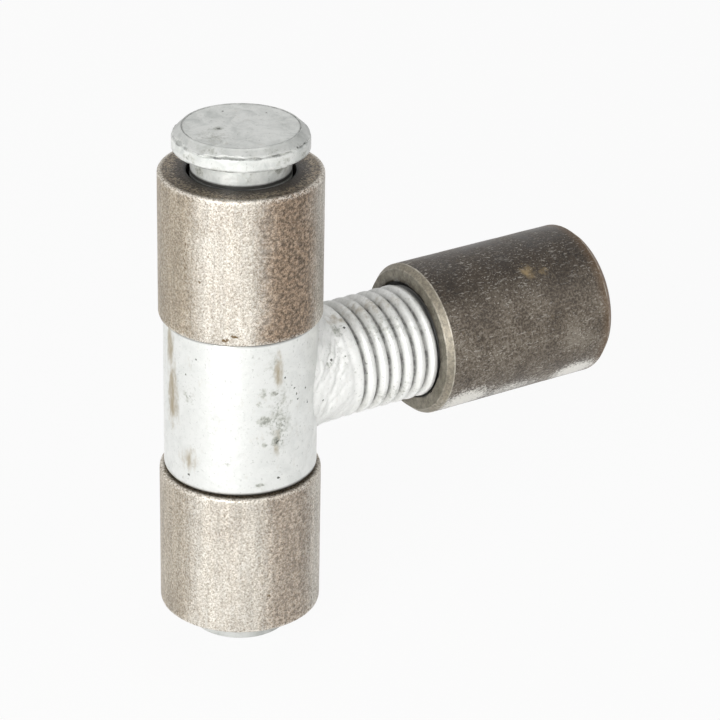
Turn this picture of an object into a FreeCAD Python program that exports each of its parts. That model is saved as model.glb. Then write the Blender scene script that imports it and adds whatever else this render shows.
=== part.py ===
import FreeCAD, Part
import os
import Sketcher

# Three-part weld-on barrel hinge. Two plain barrels are welded to the post, an eye with a
# threaded stud turns between them on a headed pin, and the stud screws into a plain sleeve
# that is welded into the gate's frame. Millimetres. Z is the pin's axis, X the stud's axis,
# and the origin is on the pin's axis at the middle of the lower barrel.

doc = FreeCAD.newDocument("weld_on_barrel_hinge")

SIZES = [
    ("barrel_diameter", 27.5, "outside of both post barrels"),
    ("barrel_height", 25.8, "length of each post barrel"),
    ("barrel_edge", 0.5, "broken outer edges of the barrels"),
    ("eye_diameter", 26.0, "outside of the eye"),
    ("eye_height", 28.0, "length of the eye along the pin"),
    ("eye_edge", 0.8, "bevelled rims of the eye"),
    ("eye_play", 0.15, "end play between the eye and each barrel"),
    ("pin_diameter", 16.8, "zinc-coated hinge pin"),
    ("pin_clearance", 0.6, "free space all round the pin in its bores"),
    ("pin_lift", 3.8, "how far the head stands above the upper barrel"),
    ("pin_reach", 4.2, "how far the pin stands out below the lower barrel"),
    ("pin_end_edge", 0.4, "broken edge at the pin's end"),
    ("head_diameter", 22.8, "rim of the pin's head"),
    ("head_face", 19.3, "flat disc on top of the head"),
    ("head_rim", 2.4, "straight part of the head's rim"),
    ("head_shoulder", 1.3, "height of the cone between rim and disc"),
    ("stud_diameter", 20.0, "crest of the thread and plain shank"),
    ("stud_end", 50.0, "stud's end, measured from the pin's axis"),
    ("stud_rise", 0.7, "stud's axis above the middle of the eye"),
    ("stud_end_edge", 1.4, "bevel at the stud's end"),
    ("root_flare", 0.7, "extra radius where the shank runs into the eye"),
    ("root_length", 3.6, "length of that flare outside the eye"),
    ("thread_pitch", 2.5, "coarse pitch of a 20 mm thread"),
    ("thread_depth", 1.2, "depth of the groove, with its bottom filled by zinc"),
    ("groove_width", 1.8, "width of the groove at the crest"),
    ("thread_start", 17.3, "where the groove runs out, from the pin's axis"),
    ("thread_end", 38.57, "last cut turn, inside the sleeve, on top of the stud"),
    ("sleeve_mouth", 33.5, "sleeve's mouth, measured from the pin's axis"),
    ("sleeve_length", 35.0, "length of the sleeve"),
    ("sleeve_diameter", 26.7, "outside of the sleeve"),
    ("sleeve_bevel", 1.15, "length of the bevel at both ends of the sleeve"),
    ("sleeve_bevel_depth", 0.95, "depth of the same bevel"),
    ("sleeve_clearance", 0.1, "free space round the crests in the sleeve"),
]

sizes = doc.addObject("Spreadsheet::Sheet", "sizes")
for row, (alias, number, note) in enumerate(SIZES, start=1):
    sizes.set(f"A{row}", note)
    sizes.set(f"B{row}", str(number))
    sizes.setAlias(f"B{row}", alias)
doc.recompute()

# Lengths that follow from the sizes
BARREL_RADIUS = "sizes.barrel_diameter / 2"
EYE_RADIUS = "sizes.eye_diameter / 2"
PIN_RADIUS = "sizes.pin_diameter / 2"
BORE_RADIUS = f"({PIN_RADIUS} + sizes.pin_clearance)"
HEAD_RADIUS = "sizes.head_diameter / 2"
STUD_RADIUS = "sizes.stud_diameter / 2"
SLEEVE_RADIUS = "sizes.sleeve_diameter / 2"
SLEEVE_BORE = f"({STUD_RADIUS} + sizes.sleeve_clearance)"

# Heights of the stack, from the middle of the lower barrel up
LOWER_BARREL_BASE = "-sizes.barrel_height / 2"
EYE_BASE = "(sizes.barrel_height / 2 + sizes.eye_play)"
UPPER_BARREL_BASE = f"({EYE_BASE} + sizes.eye_height + sizes.eye_play)"
HEAD_SEAT = f"({UPPER_BARREL_BASE} + sizes.barrel_height + sizes.pin_lift)"
PIN_LENGTH = f"({HEAD_SEAT} + sizes.barrel_height / 2 + sizes.pin_reach)"
STUD_LEVEL = "(sizes.eye_height / 2 + sizes.stud_rise)"


def origin_plane(body, role):
    for feature in body.Origin.OriginFeatures:
        if feature.Role == role:
            return feature


def pin_coordinate(sketch, kind, axis, line, expression):
    # Fixes one coordinate of a line's start point to an expression of the sheet
    if expression == "0":
        sketch.addConstraint(Sketcher.Constraint("PointOnObject", line, 1, axis))
        return
    number = float(sizes.evalExpression(expression))
    index = sketch.addConstraint(Sketcher.Constraint(kind, -1, 1, line, 1, number))
    sketch.setExpression(f"Constraints[{index}]", expression)


def section(body, name, corners, level="0"):
    # Closed section on the body's XZ plane, each corner a pair of expressions, with the
    # sketch's own horizontal axis raised to the given level
    sketch = body.newObject("Sketcher::SketchObject", name)
    sketch.AttachmentSupport = (origin_plane(body, "XZ_Plane"), "")
    sketch.MapMode = "FlatFace"
    sketch.setExpression("AttachmentOffset.Base.y", level)
    points = []
    for across, along in corners:
        x = float(sizes.evalExpression(across))
        y = float(sizes.evalExpression(along))
        points.append(FreeCAD.Vector(x, y, 0))
    count = len(points)
    for i in range(count):
        sketch.addGeometry(Part.LineSegment(points[i], points[(i + 1) % count]))
    for i in range(count):
        sketch.addConstraint(Sketcher.Constraint("Coincident", i, 2, (i + 1) % count, 1))
    for i, (across, along) in enumerate(corners):
        pin_coordinate(sketch, "DistanceX", -2, i, across)
        pin_coordinate(sketch, "DistanceY", -1, i, along)
    doc.recompute()
    return sketch


def turned(body, name, sketch, axis, kind="PartDesign::Revolution"):
    # Full turn of a section about the sketch's own axis
    feature = body.newObject(kind, name)
    feature.Profile = sketch
    feature.ReferenceAxis = (sketch, [axis])
    feature.Angle = 360
    sketch.Visibility = False
    doc.recompute()
    return feature


def new_body(label):
    body = doc.addObject("PartDesign::Body", label)
    body.Label = label
    return body


# Post barrel: a length of thick tube with broken edges
def post_barrel(label, base):
    body = new_body(label)
    wall = section(body, f"{label}_section", [
        (BORE_RADIUS, "0"),
        (f"{BARREL_RADIUS} - sizes.barrel_edge", "0"),
        (BARREL_RADIUS, "sizes.barrel_edge"),
        (BARREL_RADIUS, "sizes.barrel_height - sizes.barrel_edge"),
        (f"{BARREL_RADIUS} - sizes.barrel_edge", "sizes.barrel_height"),
        (BORE_RADIUS, "sizes.barrel_height"),
    ])
    turned(body, f"{label}_tube", wall, "V_Axis")
    body.setExpression("Placement.Base.z", base)
    return body


# Hinge pin: round bar with an upset head, its underside at the body's own origin
def hinge_pin():
    body = new_body("hinge_pin")
    profile = section(body, "pin_section", [
        ("0", f"-{PIN_LENGTH}"),
        (f"{PIN_RADIUS} - sizes.pin_end_edge", f"-{PIN_LENGTH}"),
        (PIN_RADIUS, f"-{PIN_LENGTH} + sizes.pin_end_edge"),
        (PIN_RADIUS, "0"),
        (HEAD_RADIUS, "0"),
        (HEAD_RADIUS, "sizes.head_rim"),
        ("sizes.head_face / 2", "sizes.head_rim + sizes.head_shoulder"),
        ("0", "sizes.head_rim + sizes.head_shoulder"),
    ])
    turned(body, "pin_and_head", profile, "V_Axis")
    body.setExpression("Placement.Base.z", HEAD_SEAT)
    return body


# Thread of the stud: one right-hand groove, cut from its last turn in the sleeve's mouth back
# to where it runs out near the eye. The turns deeper in the sleeve, where none shows, are left
# off. The cutter's section stands a little proud of the crests, with the same flank angle.
def cut_thread(body):
    last_turn = "sizes.thread_end"
    proud = "sizes.sleeve_clearance"
    half_width = f"(sizes.groove_width / 2 * (1 + {proud} / sizes.thread_depth))"
    groove = section(body, "groove_section", [
        (f"{last_turn} - {half_width}", f"{STUD_RADIUS} + {proud}"),
        (f"{last_turn} + {half_width}", f"{STUD_RADIUS} + {proud}"),
        (last_turn, f"{STUD_RADIUS} - sizes.thread_depth"),
    ], STUD_LEVEL)
    thread = body.newObject("PartDesign::SubtractiveHelix", "stud_thread")
    thread.Profile = groove
    thread.ReferenceAxis = (groove, ["H_Axis"])
    thread.Mode = "pitch-height-angle"
    thread.LeftHanded = False
    thread.Reversed = True
    thread.setExpression("Pitch", "sizes.thread_pitch")
    thread.setExpression("Height", f"{last_turn} - sizes.thread_start")
    groove.Visibility = False
    doc.recompute()
    return thread


# Eye and stud are one forging: a short tube with a threaded bar that stands out of its side
def threaded_eye():
    body = new_body("threaded_eye")
    rim = section(body, "eye_section", [
        ("0", "0"),
        (f"{EYE_RADIUS} - sizes.eye_edge", "0"),
        (EYE_RADIUS, "sizes.eye_edge"),
        (EYE_RADIUS, "sizes.eye_height - sizes.eye_edge"),
        (f"{EYE_RADIUS} - sizes.eye_edge", "sizes.eye_height"),
        ("0", "sizes.eye_height"),
    ])
    turned(body, "eye_blank", rim, "V_Axis")
    shank = section(body, "stud_section", [
        ("0", "0"),
        ("sizes.stud_end", "0"),
        ("sizes.stud_end", f"{STUD_RADIUS} - sizes.stud_end_edge"),
        ("sizes.stud_end - sizes.stud_end_edge", STUD_RADIUS),
        (f"{EYE_RADIUS} + sizes.root_length", STUD_RADIUS),
        (EYE_RADIUS, f"{STUD_RADIUS} + sizes.root_flare"),
        ("0", f"{STUD_RADIUS} + sizes.root_flare"),
    ], STUD_LEVEL)
    turned(body, "stud_blank", shank, "H_Axis")
    cut_thread(body)
    bore = section(body, "eye_bore_section", [
        ("0", "0"),
        (BORE_RADIUS, "0"),
        (BORE_RADIUS, "sizes.eye_height"),
        ("0", "sizes.eye_height"),
    ])
    turned(body, "eye_bore", bore, "V_Axis", "PartDesign::Groove")
    body.setExpression("Placement.Base.z", EYE_BASE)
    return body


# Weld-in sleeve, with a bevel at both ends that takes the weld
def threaded_sleeve():
    body = new_body("threaded_sleeve")
    far_end = "sizes.sleeve_length"
    face = f"{SLEEVE_RADIUS} - sizes.sleeve_bevel_depth"
    wall = section(body, "sleeve_section", [
        ("0", SLEEVE_BORE),
        ("0", face),
        ("sizes.sleeve_bevel", SLEEVE_RADIUS),
        (f"{far_end} - sizes.sleeve_bevel", SLEEVE_RADIUS),
        (far_end, face),
        (far_end, SLEEVE_BORE),
    ])
    turned(body, "sleeve_tube", wall, "H_Axis")
    body.setExpression("Placement.Base.x", "sizes.sleeve_mouth")
    body.setExpression("Placement.Base.z", f"{EYE_BASE} + {STUD_LEVEL}")
    return body


pieces = [
    post_barrel("upper_barrel", UPPER_BARREL_BASE),
    post_barrel("lower_barrel", LOWER_BARREL_BASE),
    hinge_pin(),
    threaded_eye(),
    threaded_sleeve(),
]
doc.recompute()

for item in doc.Objects:
    if "Invalid" in item.State or "Error" in item.State:
        raise RuntimeError(f"{item.Name} failed: {item.State}")

os.makedirs("parts", exist_ok=True)
for piece in pieces:
    shape = piece.Shape
    if shape.isNull() or not shape.isValid() or len(shape.Solids) != 1:
        raise RuntimeError(f"{piece.Label} is not one valid solid")
    box = shape.BoundBox
    print(
        f"{piece.Label}: {shape.Volume:.0f} mm3,",
        f"x {box.XMin:.2f} to {box.XMax:.2f},",
        f"y {box.YMin:.2f} to {box.YMax:.2f},",
        f"z {box.ZMin:.2f} to {box.ZMax:.2f}",
    )
    shape.exportStep(f"parts/{piece.Label}.step")
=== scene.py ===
import math
import bmesh
import bpy
from mathutils import Matrix, Vector, noise


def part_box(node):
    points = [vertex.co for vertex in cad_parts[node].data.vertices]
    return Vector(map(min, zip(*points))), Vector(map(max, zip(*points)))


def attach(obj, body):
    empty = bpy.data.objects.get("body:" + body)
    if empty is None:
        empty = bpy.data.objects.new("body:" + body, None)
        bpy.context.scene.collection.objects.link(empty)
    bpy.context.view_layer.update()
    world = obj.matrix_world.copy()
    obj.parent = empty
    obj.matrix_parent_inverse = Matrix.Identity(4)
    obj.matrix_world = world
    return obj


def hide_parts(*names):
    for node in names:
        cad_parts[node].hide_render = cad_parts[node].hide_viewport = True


# Weld-on barrel hinge: two shot-blasted barrels, a galvanised headed pin, a galvanised eye with
# its threaded stud, and a sleeve in mill scale. Sizes in the dictionaries are in millimetres.

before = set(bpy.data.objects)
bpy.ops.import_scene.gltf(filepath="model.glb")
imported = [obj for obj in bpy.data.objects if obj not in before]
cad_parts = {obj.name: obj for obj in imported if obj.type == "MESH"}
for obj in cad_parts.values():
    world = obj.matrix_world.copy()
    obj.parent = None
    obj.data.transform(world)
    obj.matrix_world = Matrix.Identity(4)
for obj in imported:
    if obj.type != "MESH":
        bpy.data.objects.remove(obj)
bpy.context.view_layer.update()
mm = 0.001
fullTurn = 2 * math.pi


def inMillimetres(node):
    low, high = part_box(node)
    return low / mm, high / mm


upperLow, upperHigh = inMillimetres("upper_barrel")
lowerLow, lowerHigh = inMillimetres("lower_barrel")
pinLow, pinHigh = inMillimetres("hinge_pin")
eyeLow, eyeHigh = inMillimetres("threaded_eye")
sleeveLow, sleeveHigh = inMillimetres("threaded_sleeve")
studLevel = (sleeveLow.z + sleeveHigh.z) / 2
print("frame read, stud level", round(studLevel, 3), "mm")


def upright(along, radius, angle):  # turned about the pin's axis
    return Vector((radius * math.cos(angle), radius * math.sin(angle), along))


def lengthwise(along, radius, angle):  # turned about the stud's axis, angle 0 on top
    return Vector((along, -radius * math.sin(angle), studLevel + radius * math.cos(angle)))


def smoothStep(value, start, end):
    t = min(1.0, max(0.0, (value - start) / (end - start)))
    return t * t * (3 - 2 * t)


# Corners are (along, radius, edge radius). The points that come out are a step apart at most.
def roundedSection(corners, closed, step, roundParts=6):
    points = []
    for i, (along, radius, edge) in enumerate(corners):
        here = Vector((along, radius))
        if edge == 0 or (not closed and i in (0, len(corners) - 1)):
            points.append(here)
            continue
        before = Vector(corners[i - 1][:2]) - here
        after = Vector(corners[(i + 1) % len(corners)][:2]) - here
        reach = edge / math.tan(before.angle(after) / 2)
        start = here + before.normalized() * reach
        end = here + after.normalized() * reach
        for k in range(roundParts + 1):
            t = k / roundParts
            points.append(start * (1 - t) ** 2 + here * 2 * t * (1 - t) + end * t ** 2)
    fine = []
    for i, point in enumerate(points):
        if not closed and i == len(points) - 1:
            fine.append(point)
            break
        following = points[(i + 1) % len(points)]
        parts = max(1, math.ceil((following - point).length / step))
        for k in range(parts):
            fine.append(point.lerp(following, k / parts))
    return fine


# A turned piece from its section, with a shape function that says where each point really lies
def turnedPiece(name, points, closed, columns, place, shape):
    verts, rings = [], []
    for point in points:
        if point.y < 1e-6:  # on the axis, where a ring shrinks to one point
            rings.append([len(verts)])
            along, radius = shape(point.x, 0.0, 0.0)
            verts.append(place(along, 0.0, 0.0) * mm)
            continue
        ring = []
        for j in range(columns):
            angle = fullTurn * j / columns
            along, radius = shape(point.x, point.y, angle)
            ring.append(len(verts))
            verts.append(place(along, radius, angle) * mm)
        rings.append(ring)
    faces = []
    pairs = list(zip(rings, rings[1:]))
    if closed:
        pairs.append((rings[-1], rings[0]))
    for one, two in pairs:
        for j in range(columns):
            k = (j + 1) % columns
            if len(one) == 1:
                faces.append((one[0], two[j], two[k]))
            elif len(two) == 1:
                faces.append((one[j], two[0], one[k]))
            else:
                faces.append((one[j], two[j], two[k], one[k]))
    mesh = bpy.data.meshes.new(name)
    mesh.from_pydata(verts, [], faces)
    work = bmesh.new()
    work.from_mesh(mesh)
    bmesh.ops.recalc_face_normals(work, faces=work.faces)
    work.to_mesh(mesh)
    work.free()
    mesh.shade_smooth()
    piece = bpy.data.objects.new(name, mesh)
    bpy.context.scene.collection.objects.link(piece)
    print(name, "has", len(faces), "faces")
    return piece


def waviness(point, size, seed=0.0):  # soft noise of about -1 to 1 with features of that size
    return noise.noise(point / size + Vector((seed, 0.37 * seed, -seed)))


def swell(point, size, seed):  # the same noise from 0 to 1, for dents that only go inwards
    return 0.5 + 0.5 * waviness(point, size, seed)


# Barrels: sawn tube, shot-blasted all over, so the edges are soft and not quite even
barrel = {
    "bore": 9.0,
    "outerEdge": 0.55,
    "boreEdge": 0.2,
    "step": 0.4,
    "columns": 240,
    "dents": 0.05,
    "dentSize": 2.2,
    "edgeWander": 0.09,
    "wanderSize": 4.5,
    "endReach": 1.2,
}


def makeBarrel(name, low, high, seed):
    outside = high.x - 0.01
    points = roundedSection([
        (low.z, barrel["bore"], barrel["boreEdge"]),
        (low.z, outside, barrel["outerEdge"]),
        (high.z, outside, barrel["outerEdge"]),
        (high.z, barrel["bore"], barrel["boreEdge"]),
    ], True, barrel["step"])
    middle, half = (low.z + high.z) / 2, (high.z - low.z) / 2

    def shape(along, radius, angle):
        point = upright(along, radius, angle)
        dent = barrel["dents"] * swell(point, barrel["dentSize"], seed)
        wander = barrel["edgeWander"] * swell(point, barrel["wanderSize"], seed + 5)
        endward = smoothStep(abs(along - middle), half - barrel["endReach"], half)
        if radius > barrel["bore"] + 0.5:
            radius -= dent * (0.35 + endward)
        along -= math.copysign(wander * endward, along - middle)
        return along, radius

    piece = turnedPiece(name, points, True, barrel["columns"], upright, shape)
    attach(piece, "post_barrels")
    return piece


upperBarrel = makeBarrel("upper_barrel_tube", upperLow, upperHigh, 1.0)
lowerBarrel = makeBarrel("lower_barrel_tube", lowerLow, lowerHigh, 9.0)
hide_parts("upper_barrel")
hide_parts("lower_barrel")


# Pin: bar with an upset head, whose flat disc is ringed by a fine line and whose shoulder
# ends in a ragged lip above the rim
pin = {
    "radius": 8.4,
    "endEdge": 0.4,
    "headEdge": 0.3,
    "headSeat": pinHigh.z - 3.7,
    "rimTop": pinHigh.z - 1.35,
    "discRadius": 9.65,
    "discDrop": 0.05,
    "discWaves": 0.03,
    "ringDepth": 0.25,
    "lipDepth": 0.62,
    "lipBand": 0.17,
    "lipWander": 0.3,
    "lipCrumbs": 0.2,
    "shoulderDents": 0.07,
    "headDents": 0.08,
    "seatWander": 0.2,
    "neckWaves": 0.05,
    "neckDents": 0.09,
    "step": 0.3,
    "columns": 256,
}


def shapePin(along, radius, angle):
    point = upright(along, radius, angle)
    if along > pin["headSeat"] + 0.2 and radius > pin["discRadius"] + 0.3:
        lip = pin["rimTop"] + pin["lipWander"] * waviness(point, 3.4, 3)
        lip += pin["lipCrumbs"] * waviness(point, 0.9, 4)
        nearLip = math.exp(-(((along - lip) / pin["lipBand"]) ** 2))
        strength = 0.35 + 0.65 * smoothStep(waviness(point, 2.6, 8), -0.35, 0.45)
        radius -= pin["lipDepth"] * nearLip * strength
        above = smoothStep(along, lip, lip + 0.3)
        radius -= pin["shoulderDents"] * above * (1 + waviness(point, 1.6, 12))
        radius -= pin["headDents"] * swell(point, 3.0, 2)
    elif along > pinHigh.z - 0.3 and radius < pin["discRadius"] - 0.3:
        along -= pin["discWaves"] * (1 + waviness(point, 2.0, 6))
    elif radius > pin["radius"] - 0.1 and pin["headSeat"] - 4 < along < pin["headSeat"] + 0.3:
        along += pin["seatWander"] * (0.1 + 0.5 * waviness(point, 1.5, 7))
        dents = pin["neckDents"] * max(0.0, waviness(point, 0.8, 15))
        radius -= pin["neckWaves"] * (1 + waviness(point, 2.5, 11)) + dents
    return along, radius


discLevel = pinHigh.z - pin["discDrop"]
pinPoints = roundedSection([
    (pinLow.z, 0.0, 0),
    (pinLow.z, pin["radius"], pin["endEdge"]),
    (pin["headSeat"], pin["radius"], pin["headEdge"]),
    (pin["headSeat"], pinHigh.x, pin["headEdge"]),
    (pin["rimTop"], pinHigh.x, pin["headEdge"]),
    (pinHigh.z, pin["discRadius"] + 0.17, 0.08),
    (pinHigh.z - pin["ringDepth"], pin["discRadius"], 0),
    (discLevel, pin["discRadius"] - 0.2, 0.08),
    (discLevel, 0.0, 0),
], False, pin["step"])
lipPoints = []
for i, (one, two) in enumerate(zip(pinPoints, pinPoints[1:])):  # fewer rows on the plain bar
    onBar = one.y > pin["radius"] - 0.1 and pinLow.z + 1 < one.x < pin["headSeat"] - 5
    if onBar and i % 3:
        continue
    lipPoints.append(one)  # and finer rows where the lip runs
    if one.y > pin["discRadius"] + 0.3 and pin["rimTop"] - 0.9 < one.x < pin["rimTop"] + 0.9:
        lipPoints += [one.lerp(two, k / 4) for k in (1, 2, 3)]
lipPoints.append(pinPoints[-1])
hingePin = turnedPiece("headed_pin", lipPoints, False, pin["columns"], upright, shapePin)
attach(hingePin, "pin")
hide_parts("hinge_pin")


# Eye: forged tube under thick zinc, with soft rims and slow waves in the coat
eye = {
    "radius": -eyeLow.x,
    "bore": 9.0,
    "rim": 0.9,
    "upperRim": 0.4,
    "boreEdge": 0.4,
    "coatWaves": 0.09,
    "coatGrain": 0.025,
    "step": 0.35,
    "columns": 240,
}


def shapeEye(along, radius, angle):
    if radius > eye["bore"] + 0.5:
        point = upright(along, radius, angle)
        radius -= eye["coatWaves"] * swell(point, 5.0, 21)
        radius -= eye["coatGrain"] * swell(point, 1.2, 22)
    return along, radius


eyePoints = roundedSection([
    (eyeLow.z, eye["bore"], eye["boreEdge"]),
    (eyeLow.z, eye["radius"], eye["rim"]),
    (eyeHigh.z, eye["radius"], eye["upperRim"]),
    (eyeHigh.z, eye["bore"], eye["boreEdge"]),
], True, eye["step"])
eyeTube = turnedPiece("eye_tube", eyePoints, True, eye["columns"], upright, shapeEye)
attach(eyeTube, "eye")


# Stud: right-hand thread with round crests and narrow grooves, half filled by zinc. It fades
# out over its last turn, before a lumpy root that flares a little into the eye.
stud = {
    "radius": 10.0,
    "end": eyeHigh.x,
    "endBevel": 1.4,
    "pitch": 2.5,
    "grooveDepth": 1.2,
    "grooveOnTop": 18.57,
    "grooveNarrowing": 1.8,
    "lineDepth": 0.12,
    "fadeStart": 16.9,
    "fadeEnd": 18.9,
    "coat": 0.05,
    "rootFlare": 0.3,
    "flareReach": 3.0,
    "rootLumps": 0.26,
    "lumpSize": 3.1,
    "wrinkles": 0.2,
    "rootEnd": 17.0,
    "rootRows": 46,
    "seatRadius": 11.2,
    "rowStep": 0.095,
    "columns": 200,
}


def crestDrop(along, angle):  # 0 on a crest, 1 at the bottom of the groove
    turns = (along - stud["grooveOnTop"]) / stud["pitch"] - angle / fullTurn
    fromCrest = abs(turns - math.floor(turns) - 0.5) * 2
    return (0.5 - 0.5 * math.cos(math.pi * fromCrest)) ** stud["grooveNarrowing"]


def shapeStud(along, radius, angle):
    if along < stud["rootEnd"]:  # the first rows lie on a cylinder inside the eye's wall
        aside = radius * math.sin(angle)
        seat = math.sqrt(stud["seatRadius"] ** 2 - aside ** 2)
        along = seat + (stud["rootEnd"] - seat) * max(0.0, along) / stud["rootEnd"]
    if radius < stud["radius"] - 0.01:
        return along, radius
    point = lengthwise(along, radius, angle)
    fade = smoothStep(along, stud["fadeStart"], stud["fadeEnd"]) * (1 - stud["lineDepth"])
    fade += stud["lineDepth"] * smoothStep(along, stud["fadeStart"] - 2, stud["fadeStart"] - 1)
    coat = stud["coat"] * swell(point, 1.1, 31)
    full = radius - fade * stud["grooveDepth"] * crestDrop(along, angle) - coat
    full = min(full, stud["radius"] - (along - stud["end"] + stud["endBevel"]))
    wall = math.sqrt(max(0.0, eye["radius"] ** 2 - point.y ** 2))
    flare = 1 - smoothStep(along - wall, 0.0, stud["flareReach"])
    rooted = 1 - smoothStep(along, stud["rootEnd"] - 2.5, stud["rootEnd"] + 0.5)
    lumps = noise.fractal(point / stud["lumpSize"] + Vector((7, 3, 1)), 0.8, 2.1, 3)
    full += stud["rootFlare"] * flare - stud["rootLumps"] * rooted * max(-0.4, lumps)
    across = (point.x * 0.78 - point.z * 0.62) / 1.1  # wrinkles run from upper right to lower left
    down = (point.x * 0.62 + point.z * 0.78) / 6.5
    crease = abs(noise.noise(Vector((across + 0.45 * lumps, down, point.y / 6 + 2))))
    full -= stud["wrinkles"] * rooted * max(0.0, 1 - 5 * crease)
    return along, full


rootRows = stud["rootRows"]
studPoints = [Vector((0.0, stud["radius"] * k / 8)) for k in range(8)]
studPoints += [Vector((stud["rootEnd"] * k / rootRows, stud["radius"])) for k in range(rootRows)]
threadRows = math.ceil((stud["end"] - stud["rootEnd"]) / stud["rowStep"])
for k in range(threadRows + 1):
    along = stud["rootEnd"] + (stud["end"] - stud["rootEnd"]) * k / threadRows
    studPoints.append(Vector((along, stud["radius"])))
endFace = stud["radius"] - stud["endBevel"]
studPoints += [Vector((stud["end"], endFace * k / 6)) for k in (5, 4, 3, 2, 1, 0)]
studBar = turnedPiece("threaded_stud", studPoints, False, stud["columns"], lengthwise, shapeStud)
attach(studBar, "eye")
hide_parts("threaded_eye")
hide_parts("threaded_eye")


# Sleeve: turned bar with a weld bevel at both ends and a thread inside that fits the stud's
sleeve = {
    "radius": (sleeveHigh.z - sleeveLow.z) / 2,
    "bevelLength": 1.15,
    "bevelDepth": 0.95,
    "bevelEdge": 0.16,
    "play": 0.12,
    "coreRadius": 8.8,
    "mouthRadius": 10.35,
    "mouthDepth": 1.0,
    "waves": 0.04,
    "dents": 0.03,
    "step": 0.4,
    "boreStep": 0.12,
    "columns": 180,
}
sleeveFace = sleeve["radius"] - sleeve["bevelDepth"]


def shapeSleeve(along, radius, angle):
    if radius < sleeve["mouthRadius"] + 0.01:
        inward = min(along - sleeveLow.x, sleeveHigh.x - along)
        thread = stud["radius"] + sleeve["play"] - stud["grooveDepth"] * crestDrop(along, angle)
        slope = (sleeve["mouthRadius"] - sleeve["coreRadius"]) / sleeve["mouthDepth"]
        return along, max(thread, sleeve["mouthRadius"] - inward * slope)
    point = lengthwise(along, radius, angle)
    radius -= sleeve["waves"] * swell(point, 3.5, 41)
    if radius > sleeveFace + 0.5:
        radius -= sleeve["dents"] * max(0.0, waviness(point, 0.8, 43))
    return along, radius


sleevePoints = roundedSection([
    (sleeveLow.x, sleeve["mouthRadius"] + 0.02, 0),
    (sleeveLow.x, sleeveFace, sleeve["bevelEdge"]),
    (sleeveLow.x + sleeve["bevelLength"], sleeve["radius"], sleeve["bevelEdge"]),
    (sleeveHigh.x - sleeve["bevelLength"], sleeve["radius"], sleeve["bevelEdge"]),
    (sleeveHigh.x, sleeveFace, sleeve["bevelEdge"]),
    (sleeveHigh.x, sleeve["mouthRadius"] + 0.02, 0),
], False, sleeve["step"])
boreRows = math.ceil((sleeveHigh.x - sleeveLow.x) / sleeve["boreStep"])
for k in range(boreRows + 1):
    along = sleeveHigh.x + (sleeveLow.x - sleeveHigh.x) * k / boreRows
    sleevePoints.append(Vector((along, sleeve["mouthRadius"])))
weldSleeve = turnedPiece("weld_sleeve", sleevePoints, True, sleeve["columns"], lengthwise, shapeSleeve)
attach(weldSleeve, "sleeve")
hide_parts("threaded_sleeve")
print("pieces built")


def fromHex(code):  # sRGB hex to linear
    channels = [int(code[i:i + 2], 16) / 255 for i in (1, 3, 5)]
    return tuple(c / 12.92 if c <= 0.04045 else ((c + 0.055) / 1.055) ** 2.4 for c in channels) + (1.0,)


# An input may be a number, a hex colour, a socket, or a node, which gives its first output in use
def addNode(tree, kind, inputs=None, **settings):
    node = tree.nodes.new("ShaderNode" + kind)
    for key, value in settings.items():
        if key == "stops":
            stops = node.color_ramp.elements
            while len(stops) < len(value):
                stops.new(0.5)
            for stop, (position, code) in zip(stops, value):
                stop.position = position
                stop.color = fromHex(code)
        else:
            setattr(node, key, value)
    for key, value in (inputs or {}).items():
        if isinstance(value, str):
            value = fromHex(value)
        elif isinstance(value, bpy.types.Node):
            value = next(socket for socket in value.outputs if socket.enabled)
        if isinstance(value, bpy.types.NodeSocket):
            tree.links.new(value, node.inputs[key])
        else:
            node.inputs[key].default_value = value
    return node


def perMillimetre(size):  # texture scale that gives features of that size
    return 1 / (size * mm)


# Folds a list of shares into their product or into the greatest of them
def joined(tree, operation, shares):
    total = shares[0]
    for share in shares[1:]:
        total = addNode(tree, "Math", {0: total, 1: share}, operation=operation)
    return total


def radiusAbout(tree, vector, centre, across):  # distance from an axis through the centre
    centred = addNode(tree, "VectorMath", {0: vector, 1: centre}, operation="SUBTRACT")
    flat = addNode(tree, "VectorMath", {0: centred, 1: across}, operation="MULTIPLY")
    return addNode(tree, "VectorMath", {0: flat}, operation="LENGTH")


def awayFrom(tree, value, centre):  # how far a value lies from a centre, to either side
    offset = addNode(tree, "Math", {0: value, 1: centre * mm}, operation="SUBTRACT")
    return addNode(tree, "Math", {0: offset}, operation="ABSOLUTE")


def lineAt(tree, value, centre, reach, full=0.0, most=1.0):  # a soft line where value is near centre
    return addNode(tree, "MapRange", {
        "Value": awayFrom(tree, value, centre),
        "From Min": reach * mm, "From Max": full * mm, "To Max": most,
    })


def startMaterial(name):
    material = bpy.data.materials.new(name)
    material.use_nodes = True
    tree = material.node_tree
    tree.nodes.clear()
    return material, tree, addNode(tree, "TexCoord").outputs["Object"]


# Layers are (share, blend type, colour), laid over the base in turn. Bumps are (strength, depth
# in millimetres, height), and the roughness follows a noise between its two values.
def finishMaterial(tree, base, layers, metallic, roughnessBy, roughness, bumps):
    for share, blend, colour in layers:
        base = addNode(tree, "Mix", {0: share, 6: base, 7: colour}, data_type="RGBA", blend_type=blend)
    shine = addNode(tree, "MapRange", {
        "Value": roughnessBy,
        "From Min": 0.35, "From Max": 0.65, "To Min": roughness[0], "To Max": roughness[1],
    })
    surface = {"Base Color": base, "Metallic": metallic, "Roughness": shine}
    relief = {}
    for strength, depth, height in bumps:
        bump = {"Strength": strength, "Distance": depth * mm, "Height": height}
        relief["Normal"] = addNode(tree, "Bump", {**bump, **relief})
    shader = addNode(tree, "BsdfPrincipled", {**surface, **relief})
    addNode(tree, "OutputMaterial", {"Surface": shader})


def onUpright(radius, degrees, height):  # a place on a surface turned about the pin
    return upright(height, radius, math.radians(degrees))


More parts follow.
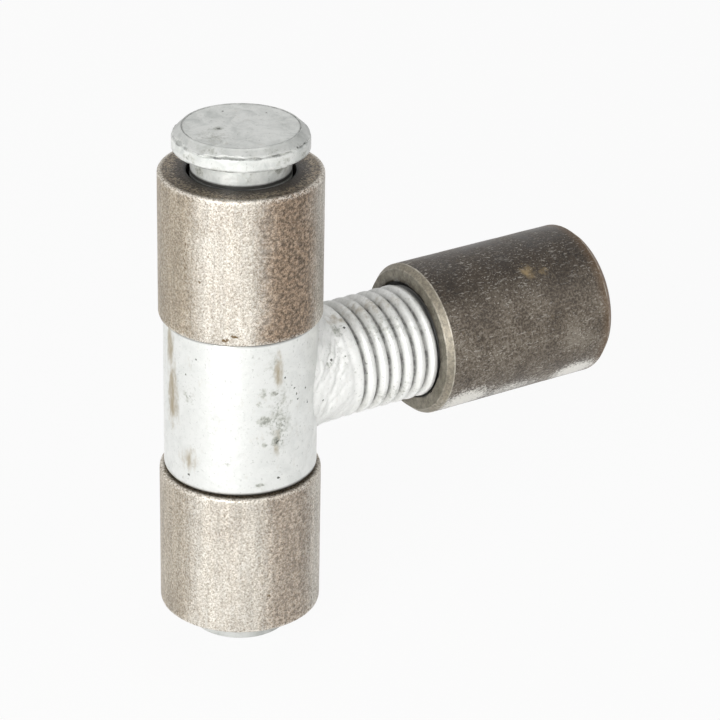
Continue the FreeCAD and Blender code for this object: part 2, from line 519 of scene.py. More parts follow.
def onLengthwise(radius, degrees, along):  # a place on a surface turned about the stud
    return lengthwise(along, radius, math.radians(degrees))


# Marks on a turned surface, from rows of (degrees, place along the axis, half sizes, density)
def marksOn(surface, radius, rows):
    return [
        (surface(radius, degrees, along), halfSize, density)
        for degrees, along, halfSize, density in rows
    ]


# Each mark has a centre, half sizes and a density. Noise breaks them up, so that they come out as
# clusters of small spots, dense in the middle and thin at the edge.
def addMarks(tree, vector, marks, spots, stretch=1.0, softness=0.12, start=0.68):
    drawn = addNode(tree, "VectorMath", {0: vector, 1: (1.0, 1.0, 1.0 / stretch)}, operation="MULTIPLY")
    rough = addNode(tree, "TexNoise", {
        "Vector": drawn, "Scale": perMillimetre(spots), "Detail": 4.0, "Roughness": 0.65,
    })
    shares = []
    for centre, halfSize, density in marks:
        offset = addNode(tree, "VectorMath", {
            0: vector, 1: tuple(c * mm for c in centre),
        }, operation="SUBTRACT")
        scaled = addNode(tree, "VectorMath", {
            0: offset, 1: tuple(s * mm for s in halfSize),
        }, operation="DIVIDE")
        distance = addNode(tree, "VectorMath", {0: scaled}, operation="LENGTH")
        shares.append(addNode(tree, "MapRange", {
            "Value": distance, "From Min": 1.0, "From Max": 0.1, "To Max": density,
        }, interpolation_type="SMOOTHSTEP"))
    covered = addNode(tree, "Math", {
        0: joined(tree, "MAXIMUM", shares), 1: 0.36, 2: rough,
    }, operation="MULTIPLY_ADD")
    return addNode(tree, "MapRange", {
        "Value": covered, "From Min": start, "From Max": start + softness,
    }, interpolation_type="SMOOTHSTEP")


# Shot-blasted bare steel: a fine salt-and-pepper grain with a satin shine on its peaks, warm
# grey where the blast is fresh, a broad brown side that is partly rust and partly painted shade,
# and painted shade on the side away from the stud. Real grit leaves dents of about 0.1 mm,
# drawn coarser here to show.
blasted = {
    "grain": 0.36,
    "fine": 0.18,
    "patch": 7.0,
    "streak": 1.3,
    "mottle": 0.62,
    "deep": "#8a7f72",
    "dark": "#a59a8b",
    "middle": "#cec6b9",
    "light": "#f2eee6",
    # brown side: partly rust, partly painted shade
    "brown": "#c0ad9c",
    # painted shade on the side away from the stud
    "paintedSideShade": "#cfc6b8",
    "chips": 0.4,
    "end": "#b9ae9d",
    "endDark": "#2a2219",
    "bore": "#14110c",
    "edge": "#efe9df",
    "pit": "#665130",
    "sideWander": 1.6,
    "boreShadeReach": 2.6,
    "roughness": (0.55, 0.36),
    "metallic": 0.4,
    "grainHeight": 0.04,
}


def shotBlastedSteel(name, low, high, sides, pitMarks):
    material, tree, vector = startMaterial(name)
    noises = {}
    for size, detail, roughness in (
        ("grain", 3.0, 0.6), ("fine", 2.0, 0.6), ("patch", 3.0, 0.55), ("mottle", 3.0, 0.6),
        ("chips", 3.0, 0.75),
    ):
        noises[size] = addNode(tree, "TexNoise", {
            "Vector": vector, "Scale": perMillimetre(blasted[size]), "Detail": detail, "Roughness": roughness,
        })
    both = addNode(tree, "Math", {0: noises["fine"], 1: 0.5, 2: noises["grain"]}, operation="MULTIPLY_ADD")
    base = addNode(tree, "ValToRGB", {"Fac": both}, stops=[
        (0.42, blasted["deep"]), (0.54, blasted["dark"]),
        (0.72, blasted["middle"]), (0.92, blasted["light"]),
    ])
    # Broad sides in another tone, soft at both edges and a little patchy: brown, partly rust and partly
    # painted shade, then painted shade on the side away from the stud
    sideShares = []
    for side in sides:
        towardsSide = addNode(tree, "VectorMath", {
            0: vector, 1: tuple(onUpright(1, side["angle"], 0)),
        }, operation="DOT_PRODUCT")
        wavering = addNode(tree, "Math", {
            0: noises["patch"], 1: blasted["sideWander"] * mm, 2: towardsSide,
        }, operation="MULTIPLY_ADD")
        sideEdge, sideFull = (
            high.x * math.cos(math.radians(side[key])) + blasted["sideWander"] / 2
            for key in ("reach", "full")
        )
        sideShares.append(addNode(tree, "MapRange", {
            "Value": wavering, "From Min": sideEdge * mm, "From Max": sideFull * mm,
            "To Max": side["strength"],
        }, interpolation_type="SMOOTHSTEP"))
    drift = addNode(tree, "MapRange", {
        "Value": noises["patch"], "From Min": 0.45, "From Max": 0.7, "To Max": 0.18,
    })
    rustAndShadeShare = addNode(tree, "Math", {0: sideShares[0], 1: drift}, operation="MAXIMUM")
    paintedSideShadeShare = sideShares[1]
    mottleShade = addNode(tree, "MapRange", {
        "Value": noises["mottle"], "From Min": 0.38, "From Max": 0.6, "To Min": 0.36, "To Max": 1.12,
    })
    mottleShare = addNode(tree, "Math", {0: rustAndShadeShare, 1: 0.85, 2: 0.12}, operation="MULTIPLY_ADD")
    mottleShare = addNode(tree, "Math", {0: paintedSideShadeShare, 1: 0.22, 2: mottleShare}, operation="MULTIPLY_ADD")
    # Faint lines along the tube, left from drawing it
    lengthways = addNode(tree, "VectorMath", {0: vector, 1: (1.0, 1.0, 0.08)}, operation="MULTIPLY")
    streak = addNode(tree, "TexNoise", {
        "Vector": lengthways, "Scale": perMillimetre(blasted["streak"]), "Detail": 3.0, "Roughness": 0.6,
    })
    streakShade = addNode(tree, "MapRange", {
        "Value": streak, "From Min": 0.35, "From Max": 0.65, "To Min": 0.82, "To Max": 1.06,
    })
    # The sawn ends are dark, with painted shade round the bore, and the outer edges are rubbed light
    across = radiusAbout(tree, vector, (0.0, 0.0, 0.0), (1.0, 1.0, 0.0))
    height = addNode(tree, "SeparateXYZ", {0: vector}).outputs[2]
    fromMiddle = awayFrom(tree, height, (low.z + high.z) / 2)
    half = (high.z - low.z) / 2
    onEnd = addNode(tree, "MapRange", {
        "Value": fromMiddle, "From Min": (half - 0.35) * mm, "From Max": (half - 0.1) * mm,
    })
    nearEdge = addNode(tree, "MapRange", {
        "Value": across, "From Min": (high.x - 1.0) * mm, "From Max": (high.x - 0.35) * mm,
    })
    offEdge = addNode(tree, "Math", {0: nearEdge, 1: -0.85, 2: 1.0}, operation="MULTIPLY_ADD")
    endShare = addNode(tree, "Math", {0: onEnd, 1: offEdge}, operation="MULTIPLY")
    # painted shade: the dark saw marks thicken towards the bore
    boreShade = addNode(tree, "MapRange", {
        "Value": across, "From Min": (barrel["bore"] + blasted["boreShadeReach"]) * mm,
        "From Max": barrel["bore"] * mm, "To Max": 0.3,
    })
    chipped = addNode(tree, "Math", {0: noises["chips"], 1: boreShade}, operation="SUBTRACT")
    sawMarks = addNode(tree, "MapRange", {
        "Value": chipped, "From Min": 0.55, "From Max": 0.42, "To Max": 0.95,
    })
    sawShare = addNode(tree, "Math", {0: sawMarks, 1: endShare}, operation="MULTIPLY")
    edgeBand = addNode(tree, "MapRange", {
        "Value": fromMiddle, "From Min": (half - 0.9) * mm, "From Max": (half - 0.3) * mm, "To Max": 0.7,
    })
    rubbed = addNode(tree, "MapRange", {"Value": both, "From Min": 0.66, "From Max": 0.86})
    # painted shade: near black in a narrow band round the bore
    inBore = addNode(tree, "MapRange", {
        "Value": across, "From Min": (barrel["bore"] + 0.65) * mm,
        "From Max": (barrel["bore"] + 0.3) * mm, "To Max": 0.95,
    })
    finishMaterial(tree, base, [
        (rustAndShadeShare, "MULTIPLY", blasted["brown"]),
        # painted shade on the side away from the stud
        (paintedSideShadeShare, "MULTIPLY", blasted["paintedSideShade"]),
        (mottleShare, "MULTIPLY", mottleShade),
        (1.0, "MULTIPLY", streakShade),
        (addMarks(tree, vector, pitMarks, 0.4), "MIX", blasted["pit"]),
        (endShare, "MULTIPLY", blasted["end"]),
        (sawShare, "MIX", blasted["endDark"]),
        (joined(tree, "MULTIPLY", [edgeBand, nearEdge, rubbed]), "MIX", blasted["edge"]),
        (inBore, "MIX", blasted["bore"]),
    ], blasted["metallic"], noises["grain"], blasted["roughness"], [
        (0.9, blasted["grainHeight"], both),
    ])
    return material


upperBarrel.data.materials.append(shotBlastedSteel(
    "shot-blasted bare steel, upper barrel", upperLow, upperHigh,
    [
        # the brown side is partly rust and partly painted shade; the second side is painted shade
        {"angle": -84, "reach": 33, "full": 0, "strength": 1.0},
        {"angle": -185, "reach": 39, "full": 16, "strength": 0.9},
    ],
    marksOn(onUpright, upperHigh.x, [
        (-131.3, 42.3, (1.1, 1.1, 0.7), 1.0),
        (-124.9, 43.1, (1.4, 1.4, 0.5), 0.9),
        (-150.0, 52.0, (0.5, 0.5, 0.5), 0.8),
        (-162.0, 56.0, (1.3, 1.3, 16.0), 0.42),
    ]),
))
lowerBarrel.data.materials.append(shotBlastedSteel(
    "shot-blasted bare steel, lower barrel", lowerLow, lowerHigh,
    [
        # the brown side is partly rust and partly painted shade; the second side is painted shade
        {"angle": -82, "reach": 31, "full": 0, "strength": 0.62},
        {"angle": -187, "reach": 35, "full": 15, "strength": 0.65},
    ],
    marksOn(onUpright, lowerHigh.x, [(-100, -6, (0.6, 0.6, 0.5), 0.9)]),
))


# Hot-dip zinc: a thick dull coat, nearly white, with slow cloudy spangle, small grey pits and
# stains where the bath has drained off
zinc = {
    "cloud": 3.2,
    "grain": 0.45,
    "haze": "#c8c9c2",
    "patch": "#9a9c94",
    "pit": "#5d5e58",
    "speck": "#85877f",
    "stain": "#ab9f88",
    "paintedShade": "#1f1d18",
    "roughness": (0.33, 0.5),
    "cloudHeight": 0.12,
    "grainHeight": 0.03,
}


def hotDipZinc(name, coat, paintedShadeShare):
    material, tree, vector = startMaterial(name)
    cloud = addNode(tree, "TexNoise", {
        "Vector": vector, "Scale": perMillimetre(zinc["cloud"]), "Detail": 4.0, "Roughness": 0.6,
        "Distortion": 0.6,
    })
    grain = addNode(tree, "TexNoise", {
        "Vector": vector, "Scale": perMillimetre(zinc["grain"]), "Detail": 3.0, "Roughness": 0.6,
    })
    clouded = addNode(tree, "MapRange", {
        "Value": cloud, "From Min": 0.42, "From Max": 0.68, "To Max": coat["clouds"],
    })
    speckle = addNode(tree, "MapRange", {
        "Value": grain, "From Min": 0.61, "From Max": 0.72, "To Max": 0.42,
    })
    base = addNode(tree, "Mix", {0: clouded, 6: coat["light"], 7: coat["grey"]}, data_type="RGBA")
    layers = [(speckle, "MIX", zinc["speck"])]
    for marks, colour, spots, stretch, softness, start in (
        ("greys", "haze", 0.9, 1.0, 0.3, 0.6),
        ("stains", "stain", 1.0, 2.5, 0.55, 0.56),
        ("greys", "patch", 0.45, 1.0, 0.26, 0.75),
        ("pits", "pit", 0.4, 1.0, 0.1, 0.68),
    ):
        share = addMarks(tree, vector, coat[marks], spots, stretch, softness, start)
        layers.append((share, "MIX", zinc[colour]))
    # painted shade, from each part's own function
    layers.append((paintedShadeShare(tree, vector), "MIX", zinc["paintedShade"]))
    finishMaterial(tree, base, layers, coat["metallic"], cloud, zinc["roughness"], [
        (0.6, zinc["cloudHeight"], cloud), (0.7, zinc["grainHeight"], grain),
    ])
    return material


# Painted shade: in rings where eye and pin meet the barrels, in lines on the pin's head, in the
# bottoms of the stud's grooves and over its top, and near black where the sleeve covers the stud.
# Rings are (height, reach, most, lean), and one that leans is thicker towards the stud, in front.
leanTowards = -33.3


def paintedShadeRings(*rings):
    def build(tree, vector):
        shares = []
        for height, reach, most, lean in rings:
            level = addNode(tree, "VectorMath", {
                0: vector, 1: tuple(onUpright(-lean, leanTowards, 1)),
            }, operation="DOT_PRODUCT")
            shares.append(lineAt(tree, level, height, reach, reach * 0.35, most))
        return joined(tree, "MAXIMUM", shares)
    return build


def paintedShadeOnPin(tree, vector):
    radius = radiusAbout(tree, vector, (0.0, 0.0, 0.0), (1.0, 1.0, 0.0))
    height = addNode(tree, "SeparateXYZ", {0: vector}).outputs[2]
    patchy = addNode(tree, "TexNoise", {
        "Vector": vector, "Scale": perMillimetre(2.2), "Detail": 4.0, "Roughness": 0.7,
    })
    broken = addNode(tree, "MapRange", {
        "Value": patchy, "From Min": 0.38, "From Max": 0.62, "To Min": 0.08, "To Max": 0.7,
    })
    wandering = addNode(tree, "Math", {0: patchy, 1: 0.9 * mm, 2: height}, operation="MULTIPLY_ADD")
    # painted shade above the lip, on the shoulder more than on the disc
    lipLevel = pin["rimTop"] + 0.45
    greyed = addNode(tree, "MapRange", {
        "Value": wandering, "From Min": lipLevel * mm, "From Max": (lipLevel + 0.2) * mm,
    })
    greyness = addNode(tree, "MapRange", {
        "Value": radius, "From Min": (pin["discRadius"] - 0.1) * mm,
        "From Max": (pin["discRadius"] + 0.1) * mm, "To Min": 0.02, "To Max": 0.19,
    })
    # painted shade in dark lines round the disc, at the lip and under the head
    shares = [addNode(tree, "Math", {0: greyed, 1: greyness}, operation="MULTIPLY")]
    for line in (
        lineAt(tree, radius, pin["discRadius"], 0.2, 0.04),
        lineAt(tree, wandering, lipLevel, 0.24),
        lineAt(tree, wandering, pin["headSeat"] + 0.68, 0.3),
    ):
        shares.append(addNode(tree, "Math", {0: line, 1: broken}, operation="MULTIPLY"))
    # painted shade where the neck goes into the upper barrel, and a darker lower end
    shares.append(paintedShadeRings((upperHigh.z, 0.55, 0.95, 0), (pinLow.z, 3.0, 0.22, 0))(tree, vector))
    return joined(tree, "MAXIMUM", shares)


def paintedShadeOnStud(tree, vector):
    radius = radiusAbout(tree, vector, (0.0, 0.0, studLevel * mm), (0.0, 1.0, 1.0))
    place = addNode(tree, "SeparateXYZ", {0: vector}).outputs
    # painted shade: darker in the groove bottoms, over the top of the thread, and near black inside the
    # sleeve
    inGrooves = addNode(tree, "MapRange", {
        "Value": radius,
        "From Min": (stud["radius"] - 0.72) * mm, "From Max": (stud["radius"] - 1.12) * mm,
    })
    patchy = addNode(tree, "TexNoise", {
        "Vector": vector, "Scale": perMillimetre(1.4), "Detail": 4.0, "Roughness": 0.7,
    })
    thick = addNode(tree, "MapRange", {
        "Value": patchy, "From Min": 0.42, "From Max": 0.68, "To Min": 0.5, "To Max": 0.92,
    })
    onTop = addNode(tree, "MapRange", {
        "Value": place[2],
        "From Min": (studLevel - 1.0) * mm, "From Max": (studLevel + 8.0) * mm, "To Max": 0.36,
    }, interpolation_type="SMOOTHSTEP")
    onThread = addNode(tree, "MapRange", {
        "Value": place[0],
        "From Min": (stud["rootEnd"] - 2) * mm, "From Max": (stud["rootEnd"] + 4) * mm, "To Min": 0.35,
    }, interpolation_type="SMOOTHSTEP")
    inSleeve = addNode(tree, "MapRange", {
        "Value": place[0],
        "From Min": (sleeveLow.x + 0.1) * mm, "From Max": (sleeveLow.x + 0.45) * mm, "To Max": 0.9,
    })
    return joined(tree, "MAXIMUM", [
        addNode(tree, "Math", {0: inGrooves, 1: thick}, operation="MULTIPLY"),
        joined(tree, "MULTIPLY", [onTop, thick, onThread]),
        inSleeve,
    ])


eyeCoat = {
    "light": "#e9eae7",
    "grey": "#d1d3d0",
    "clouds": 0.5,
    "metallic": 0.7,
    "greys": marksOn(onUpright, eye["radius"], [
        (-102.5, 27.0, (2.4, 2.4, 1.7), 1.2),
        (-93.7, 22.9, (1.6, 1.6, 1.9), 1.2),
        (-92.9, 27.8, (1.1, 1.1, 1.0), 1.1),
        (-94.6, 31.8, (1.6, 1.6, 1.0), 1.1),
        (-103.7, 32.0, (1.1, 1.1, 2.0), 0.9),
        (-102.8, 22.6, (0.9, 0.9, 0.9), 1.1),
        (-106.9, 30.2, (1.1, 1.1, 1.1), 0.8),
        (-90.0, 26.5, (4.0, 4.0, 11.0), 0.78),
        (-97.0, 37.0, (2.4, 2.4, 4.0), 0.6),
        (-162.4, 30.4, (2.4, 2.4, 2.6), 0.7),
        (-130.1, 19.1, (0.9, 0.9, 0.7), 0.9),
        (-106.5, 15.1, (2.0, 2.0, 0.7), 1.1),
    ]),
    "stains": marksOn(onUpright, eye["radius"], [
        (178.4, 29.0, (3.0, 3.0, 9.5), 1.4),
        (175.0, 37.5, (2.2, 2.2, 7.0), 1.4),
        (-92.1, 35.8, (1.5, 1.5, 5.5), 1.2),
        (-93.0, 22.5, (1.0, 1.0, 5.5), 0.8),
        (-162.7, 18.5, (3.2, 3.2, 3.8), 1.15),
    ]),
    "pits": marksOn(onUpright, eye["radius"], [
        (-86.6, 34.2, (0.4, 0.4, 0.35), 1.1),
        (-80.0, 32.4, (0.3, 0.3, 0.3), 1.0),
        (-77.4, 31.7, (0.3, 0.3, 0.3), 1.0),
        (-75.3, 30.5, (0.3, 0.3, 0.4), 1.0),
        (-73.9, 29.4, (0.3, 0.3, 0.4), 0.95),
        (-64.9, 30.7, (0.35, 0.35, 0.35), 1.1),
        (-61.9, 27.7, (0.35, 0.35, 0.35), 1.0),
        (-155.1, 37.5, (0.3, 0.3, 0.4), 1.0),
        (-164.9, 34.1, (0.3, 0.3, 0.35), 1.1),
        (-93.7, 22.9, (1.0, 1.0, 1.2), 0.75),
        (-91.4, 15.9, (0.7, 0.7, 0.45), 1.0),
        (-162.8, 15.6, (0.5, 0.5, 0.4), 1.0),
    ]),
}
studCoat = {
    "light": "#f6f6f3",
    "grey": "#d9dbd6",
    "clouds": 0.3,
    "metallic": 0.3,
    "greys": marksOn(onLengthwise, 10.2, [
        (33, 15.6, (2.2, 2.8, 2.2), 1.0),
        (64, 11.9, (1.5, 1.5, 1.5), 0.9),
        (60, 14.0, (4.5, 5.0, 5.0), 0.45),
        # painted shade: a broad grey over the upper front of the thread
        (42, 24.0, (9.0, 5.5, 5.5), 0.55),
        (118, 25.0, (9.0, 4.0, 5.0), 0.6),
    ]),
    "stains": marksOn(onLengthwise, 10.0, [
        (15, 24.0, (10.0, 4.5, 2.0), 0.8),
        (20, 17.0, (4.0, 3.5, 2.0), 0.7),
    ]),
    "pits": marksOn(onLengthwise, 10.1, [
        (31.7, 17.1, (0.5, 0.5, 0.5), 1.2),
        (59.9, 15.4, (0.4, 0.4, 0.5), 1.1),
        (60.4, 12.5, (0.5, 0.5, 0.45), 1.1),
        (98.6, 10.2, (0.4, 0.4, 0.6), 1.0),
    ]) + marksOn(onLengthwise, 9.4, [
        (74.0, 19.2, (0.5, 0.8, 0.7), 1.2),
        (84.0, 19.25, (0.5, 0.8, 0.5), 1.2),
        (92.0, 19.3, (0.45, 0.8, 0.45), 1.2),
    ]),
}
pinCoat = {
    "light": "#e4e5e1",
    "grey": "#b3b7b3",
    "clouds": 0.6,
    "metallic": 0.3,
    "greys": [
        ((-3.9, 0.8, pinHigh.z), (1.6, 1.3, 0.9), 1.2),
        ((-6.5, -2.0, pinHigh.z), (4.5, 6.5, 0.9), 0.72),
    ] + marksOn(onUpright, 10.6, [
        (-152, 73.8, (3.2, 3.2, 0.9), 0.8),
        (-92, 73.8, (3.0, 3.0, 0.9), 0.7),
    ]) + marksOn(onUpright, pinHigh.x, [
        (-168, 71.9, (3.2, 3.2, 1.2), 0.9),
        (-139, 71.3, (3.0, 3.0, 0.8), 0.8),
        (-84, 71.9, (3.0, 3.0, 1.1), 0.8),
        (-58, 71.6, (2.5, 2.5, 1.2), 0.9),
    ]) + marksOn(onUpright, pin["radius"], [
        (-176, 68.6, (2.6, 2.6, 2.3), 1.0),
        (-112, 68.9, (1.7, 1.7, 1.9), 0.8),
        (-74, 69.4, (2.2, 2.2, 2.0), 1.1),
        (-160, -15.0, (2.5, 2.5, 2.0), 0.9),
        (-118, -14.0, (3.0, 3.0, 1.6), 0.8),
        (-80, -15.5, (2.5, 2.5, 1.8), 0.9),
    ]),
    "stains": marksOn(onUpright, pin["radius"], [(-60, 66.0, (2.5, 2.5, 3.5), 0.6)]),
    "pits": [
        ((0.6, 6.9, pinHigh.z), (0.4, 0.4, 0.4), 1.1),
        ((6.5, 2.8, pinHigh.z), (0.35, 0.35, 0.4), 1.0),
        ((4.5, -10.2, pinHigh.z - 1.2), (0.5, 0.5, 0.4), 1.1),
        ((-3.8, 0.8, pinHigh.z), (0.8, 0.6, 0.5), 1.1),
    ],
}
for piece, name, coat, paintedShadeShare in (
    # painted shade where the eye meets each barrel
    (eyeTube, "eye", eyeCoat, paintedShadeRings((eyeLow.z, 0.8, 0.9, 0.022), (eyeHigh.z, 0.5, 0.6, 0))),
    (studBar, "stud", studCoat, paintedShadeOnStud),
    (hingePin, "pin", pinCoat, paintedShadeOnPin),
):
    piece.data.materials.append(hotDipZinc("hot-dip zinc on the " + name, coat, paintedShadeShare))


# Turned steel bar under a skin of mill scale: an even dark brown-grey with a low shine, fine pale
# flecks and scratches where it was knocked, pale patches underneath that are partly rubbed and
# partly painted reflection, painted shade on top and round the bores, rust at the far end, and
# bevels cut a little lighter
scale = {
    "cloud": 6.0,
    "grain": 0.42,
    "fleck": 0.3,
    "scratch": 0.4,
    "cutGrain": 0.5,
    "patch": 1.6,
    "dark": "#433b32",
    "middle": "#655b4f",
    "light": "#847c70",
    "rust": "#735a40",
    "smudge": "#93805f",
    "bare": "#cfcac1",
    "rubbed": "#ebe8e1",
    "cut": "#8c8576",
    "face": "#6b6659",
    "top": "#786b5c",
    "topLean": math.radians(12),
    "worn": "#c6c0b3",
    "mouthShade": "#332d24",
    "inside": "#0f0d0a",
    "metallic": 0.4,
    "roughness": (0.4, 0.55),
    "grainHeight": 0.03,
}


def millScaleSteel():
    material, tree, vector = startMaterial("turned steel with mill scale")
    place = addNode(tree, "SeparateXYZ", {0: vector}).outputs
    noises = {}
    for size, detail, roughness in (
        ("cloud", 3.0, 0.5), ("grain", 3.0, 0.65), ("fleck", 1.0, 0.5), ("patch", 4.0, 0.65),
        ("cutGrain", 4.0, 0.7),
    ):
        noises[size] = addNode(tree, "TexNoise", {
            "Vector": vector, "Scale": perMillimetre(scale[size]), "Detail": detail, "Roughness": roughness,
        })
    mixed = addNode(tree, "Math", {0: noises["cloud"], 1: 0.6, 2: noises["grain"]}, operation="MULTIPLY_ADD")
    base = addNode(tree, "ValToRGB", {"Fac": mixed}, stops=[
        (0.63, scale["dark"]), (0.8, scale["middle"]), (0.96, scale["light"]),
    ])
    # Painted shade: darker on top
    towardsTop = upright(math.cos(scale["topLean"]), math.sin(scale["topLean"]), -math.pi / 2)
    upward = addNode(tree, "VectorMath", {0: vector, 1: tuple(towardsTop)}, operation="DOT_PRODUCT")
    onTop = addNode(tree, "MapRange", {
        "Value": upward,
        "From Min": (studLevel + 0.5 * sleeve["radius"]) * mm,
        "From Max": (studLevel + 1.05 * sleeve["radius"]) * mm,
    }, interpolation_type="SMOOTHSTEP")
    # Flecks are round, and scratches run askew over the bar in four directions
    knocks = [addNode(tree, "MapRange", {
        "Value": noises["fleck"], "From Min": 0.64, "From Max": 0.74, "To Max": 0.48,
    })]
    for rotation, most in (
        ((0.4, 0.5, 0.3), 0.3), ((0.0, 1.25, 0.5), 0.4), ((0.6, -0.9, 0.0), 0.4), ((1.2, 0.2, 1.4), 0.4),
    ):
        askew = addNode(tree, "Mapping", {"Vector": vector, "Rotation": rotation, "Scale": (0.33, 1.0, 1.0)})
        strokes = addNode(tree, "TexNoise", {
            "Vector": askew, "Scale": perMillimetre(scale["scratch"]), "Detail": 1.0, "Distortion": 0.3,
        })
        knocks.append(addNode(tree, "MapRange", {
            "Value": strokes, "From Min": 0.67, "From Max": 0.76, "To Max": most,
        }))
    # They come in groups, and leave some of the bar alone
    grouped = addNode(tree, "MapRange", {
        "Value": noises["cloud"], "From Min": 0.38, "From Max": 0.58, "To Min": 0.35, "To Max": 1.15,
    })
    bareShare = addNode(tree, "Math", {
        0: joined(tree, "MAXIMUM", knocks), 1: grouped,
    }, operation="MULTIPLY")
    farEnd = addNode(tree, "MapRange", {
        "Value": place[0],
        "From Min": (sleeveHigh.x - 3) * mm, "From Max": (sleeveHigh.x - 0.4) * mm, "To Max": 0.7,
    })
    smudge = addMarks(tree, vector, marksOn(onLengthwise, sleeve["radius"], [
        (33, 53.5, (2.6, 2.6, 2.0), 1.2),
        (36, 56.5, (2.0, 1.6, 1.4), 0.9),
    ]), 1.1, 1.0, 0.5, 0.6)
    # pale patches underneath: partly wear, partly painted reflection of the floor
    wearAndReflection = addMarks(tree, vector, marksOn(onLengthwise, sleeve["radius"], [
        (132, 39.0, (10.0, 6.0, 7.0), 1.7),
        (134, 49.0, (14.0, 5.0, 5.5), 1.1),
        (133, 62.5, (9.0, 5.0, 6.0), 1.8),
    ]), 0.42, 1.0, 0.42, 0.68)
    layers = [
        (onTop, "MULTIPLY", scale["top"]),
        (bareShare, "MIX", scale["bare"]),
        (farEnd, "MIX", scale["rust"]),
        (smudge, "MIX", scale["smudge"]),
        (wearAndReflection, "MIX", scale["rubbed"]),
    ]
    # Both bevels and end faces are cut, and worn bright along their edges
    middle, half = (sleeveLow.x + sleeveHigh.x) / 2, (sleeveHigh.x - sleeveLow.x) / 2
    outward = awayFrom(tree, place[0], middle)
    rustySide = addNode(tree, "Math", {0: place[0], 1: middle * mm}, operation="GREATER_THAN")
    cut = addNode(tree, "Mix", {0: rustySide, 6: scale["cut"], 7: scale["rust"]}, data_type="RGBA")
    cutShade = addNode(tree, "MapRange", {
        "Value": noises["cutGrain"], "From Min": 0.36, "From Max": 0.62, "To Min": 0.6, "To Max": 1.25,
    })
    for start, reach, colour, most in (
        (sleeve["bevelLength"], 0.15, cut, 0.85), (0.1, 0.06, scale["face"], 0.95),
    ):
        beyond = addNode(tree, "MapRange", {
            "Value": outward,
            "From Min": (half - start - reach) * mm, "From Max": (half - start) * mm, "To Max": most,
        })
        layers += [(beyond, "MIX", colour), (beyond, "MULTIPLY", cutShade)]
    for start, most in ((sleeve["bevelLength"], 0.8), (0.1, 0.4)):
        broken = addNode(tree, "MapRange", {
            "Value": noises["patch"], "From Min": 0.42, "From Max": 0.6, "To Min": 0.05, "To Max": most,
        })
        line = lineAt(tree, outward, half - start, 0.16, 0.03)
        wornShare = addNode(tree, "Math", {0: line, 1: broken}, operation="MULTIPLY")
        layers.append((wornShare, "MIX", scale["worn"]))
    # Painted shade: the end faces darken towards the bore, most above it, and the thread inside is black
    radius = radiusAbout(tree, vector, (0.0, 0.0, studLevel * mm), (0.0, 1.0, 1.0))
    uneven = addNode(tree, "Math", {0: noises["patch"], 1: 1.6 * mm, 2: radius}, operation="MULTIPLY_ADD")
    mouth = sleeve["mouthRadius"]
    mouthShadeShare = addNode(tree, "MapRange", {
        "Value": uneven, "From Min": (mouth + 2.2) * mm, "From Max": (mouth + 0.7) * mm, "To Max": 0.75,
    }, interpolation_type="SMOOTHSTEP")
    upper = addNode(tree, "MapRange", {
        "Value": place[2],
        "From Min": (studLevel - 9) * mm, "From Max": (studLevel + 3) * mm, "To Min": 0.1,
    }, interpolation_type="SMOOTHSTEP")
    mouthShadeAbove = addNode(tree, "Math", {0: mouthShadeShare, 1: upper}, operation="MULTIPLY")
    inside = addNode(tree, "MapRange", {
        "Value": radius, "From Min": (mouth + 0.1) * mm, "From Max": (mouth - 0.15) * mm, "To Max": 0.97,
    })
    layers += [
        (mouthShadeAbove, "MIX", scale["mouthShade"]),
        (inside, "MIX", scale["inside"]),
    ]
    finishMaterial(tree, base, layers, scale["metallic"], noises["cloud"], scale["roughness"], [
        (0.7, scale["grainHeight"], noises["grain"]),
    ])
    return material


weldSleeve.data.materials.append(millScaleSteel())
print("materials made")


def whiteShare(tree):  # 1 for what the camera sees, straight or through metal, and 0 for lighting
    path = addNode(tree, "LightPath").outputs
    return joined(tree, "MAXIMUM", [
        path["Is Camera Ray"], path["Is Glossy Ray"], path["Is Transmission Ray"],
    ])


# Floor: pale and matt, where the pin's end comes down to when its head rests on the barrel. The
# camera, and metal that mirrors it, see it close to white, and it keeps the soft shadow.
floorSetup = {
    "size": 9.0,
    "level": pinLow.z - pin["headSeat"] + upperHigh.z,
    "colour": "#f4f4f2",
    "whiteShare": 0.93,
}
bpy.ops.mesh.primitive_circle_add(
    vertices=96, radius=floorSetup["size"], fill_type="NGON", location=(0, 0, floorSetup["level"] * mm),
)
floor = bpy.context.object
floor.name = "floor"
floorMaterial, tree = startMaterial("pale studio floor")[:2]
matt = addNode(tree, "BsdfDiffuse", {"Color": floorSetup["colour"]})
white = addNode(tree, "Emission", {"Color": "#ffffff", "Strength": 1.0})
share = addNode(tree, "Math", {
    0: whiteShare(tree), 1: floorSetup["whiteShare"],
}, operation="MULTIPLY")
surface = addNode(tree, "MixShader", {0: share, 1: matt, 2: white})
addNode(tree, "OutputMaterial", {"Surface": surface})
floor.data.materials.append(floorMaterial)

# World: it lights the object as an even pale grey, while the camera, and metal that mirrors it,
# see it as white as the floor
worldSetup = {"colour": "#e8eaec", "strength": 0.33, "white": 0.96}
world = bpy.data.worlds.new("studio")
world.use_nodes = True
tree = world.node_tree
tree.nodes.clear()
lit = addNode(tree, "Background", {"Color": worldSetup["colour"], "Strength": worldSetup["strength"]})
shown = addNode(tree, "Background", {"Color": "#ffffff", "Strength": worldSetup["white"]})
both = addNode(tree, "MixShader", {0: whiteShare(tree), 1: lit, 2: shown})
addNode(tree, "OutputWorld", {"Surface": both})
bpy.context.scene.world = world


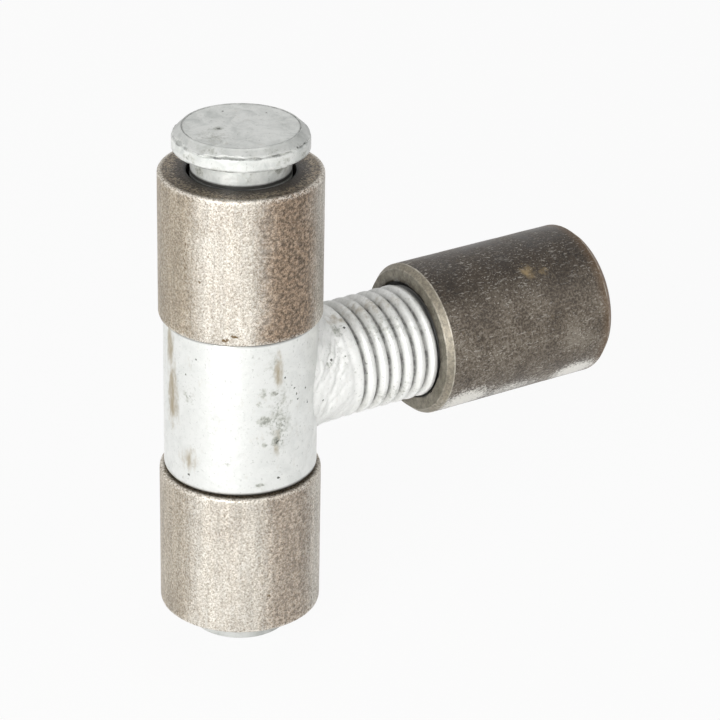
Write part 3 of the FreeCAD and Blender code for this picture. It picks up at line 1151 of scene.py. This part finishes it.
# Lamps stand where azimuth and elevation say, seen from the object: azimuth 0 is in front (-Y)
# and grows towards +X
lamps = {
    "key": {"azimuth": -53, "elevation": 12, "distance": 0.9, "size": (0.6, 0.6), "power": 8.5},
    "fill": {"azimuth": 30, "elevation": 35, "distance": 1.4, "size": (0.8, 0.8), "power": 1.6},
    "back": {"azimuth": 147, "elevation": 46, "distance": 1.0, "size": (0.5, 0.5), "power": 0.5},
}
target = Vector((15, 0, 28)) * mm


def towards(azimuth, elevation):
    a, e = math.radians(azimuth), math.radians(elevation)
    return Vector((math.sin(a) * math.cos(e), -math.cos(a) * math.cos(e), math.sin(e)))


for name, setup in lamps.items():
    light = bpy.data.lights.new(name, "AREA")
    light.shape = "RECTANGLE"
    light.size, light.size_y = setup["size"]
    light.energy = setup["power"]
    lamp = bpy.data.objects.new(name, light)
    lamp.location = target + towards(setup["azimuth"], setup["elevation"]) * setup["distance"]
    lamp.rotation_euler = (target - lamp.location).to_track_quat("-Z", "Y").to_euler()
    bpy.context.scene.collection.objects.link(lamp)
print("stage lit")


# Camera, as found from the photograph's ellipses and the thread's pitch
cameraSetup = {
    "place": (-244.8, -408.6, 266.7),
    "azimuth": -33.334,
    "elevation": 26.187,
    "roll": 1.199,
    "lens": 158.3,
    "sensor": 36,
    "clip": (0.01, 50),
}
camera = bpy.data.objects.new("camera", bpy.data.cameras.new("camera"))
camera.data.lens = cameraSetup["lens"]
camera.data.sensor_width = cameraSetup["sensor"]
camera.data.clip_start, camera.data.clip_end = cameraSetup["clip"]
turn = Matrix.Rotation(math.radians(cameraSetup["azimuth"]), 4, "Z")
tilt = Matrix.Rotation(math.radians(90 - cameraSetup["elevation"]), 4, "X")
roll = Matrix.Rotation(math.radians(cameraSetup["roll"]), 4, "Z")
camera.matrix_world = Matrix.Translation(Vector(cameraSetup["place"]) * mm) @ turn @ tilt @ roll
bpy.context.scene.collection.objects.link(camera)
bpy.context.scene.camera = camera
bpy.context.scene.view_settings.view_transform = "Standard"

bpy.context.view_layer.update()
print("ready")
